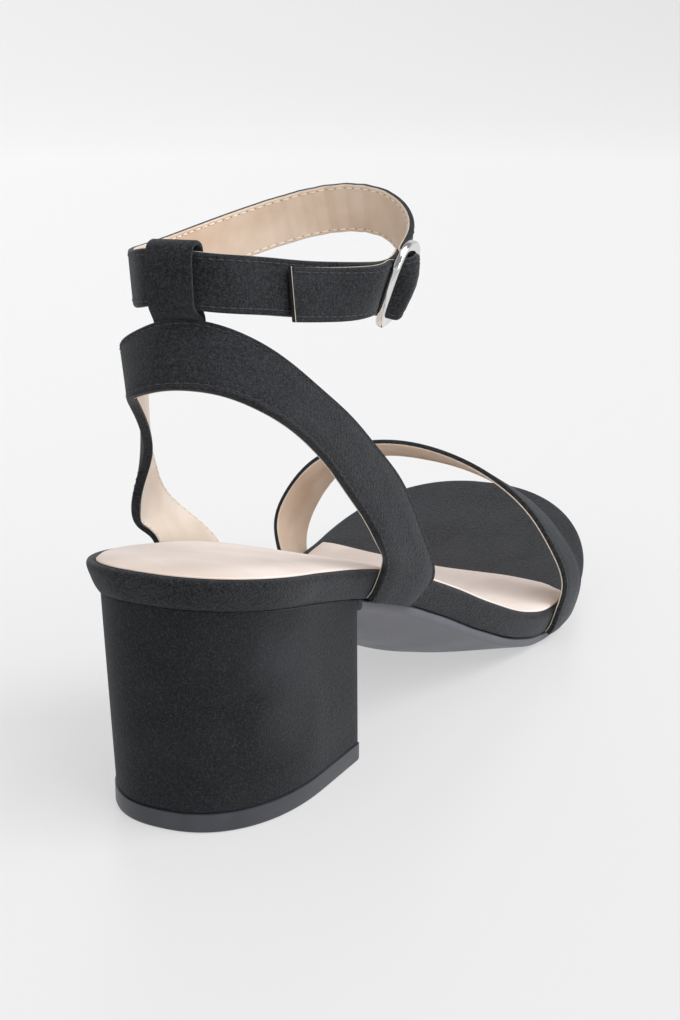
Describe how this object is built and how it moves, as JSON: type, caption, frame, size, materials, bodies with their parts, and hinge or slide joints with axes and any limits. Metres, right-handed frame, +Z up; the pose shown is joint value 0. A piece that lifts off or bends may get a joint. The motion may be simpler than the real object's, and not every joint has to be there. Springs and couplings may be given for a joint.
{
  "type": "block heel sandal",
  "caption": "Open block heel sandal: suede-wrapped footbed, rubber sole, tall block heel, toe strap, back strap with loop, and buckled ankle strap with beige lining.",
  "frame": {"origin": "on the floor, under the centre of the sandal's bounding box", "axes": "+Y from heel to toe, +X to the outer side of the foot, +Z up from the floor"},
  "size_m": [0.0924, 0.242, 0.1301],
  "materials": {
    "suede_wrap": "napped suede",
    "outsole_rubber": "satin moulded",
    "sock_lining": "smooth satin",
    "top_piece_rubber": "satin moulded",
    "heel_suede": "napped suede",
    "quarter_suede": "napped suede",
    "toe_strap_suede": "napped suede",
    "ankle_strap_suede": "napped suede",
    "loop_suede": "napped suede",
    "buckle_silver": "polished plating"
  },
  "bodies": {
    "root": {"footbed": "suede_wrap", "outsole": "outsole_rubber", "sock": "sock_lining", "top_piece": "top_piece_rubber", "heel_block": "heel_suede", "quarter_strap": "quarter_suede", "toe_strap": "toe_strap_suede", "ankle_strap": "ankle_strap_suede", "back_loop": "loop_suede", "buckle": "buckle_silver"}
  },
  "joints": []
}
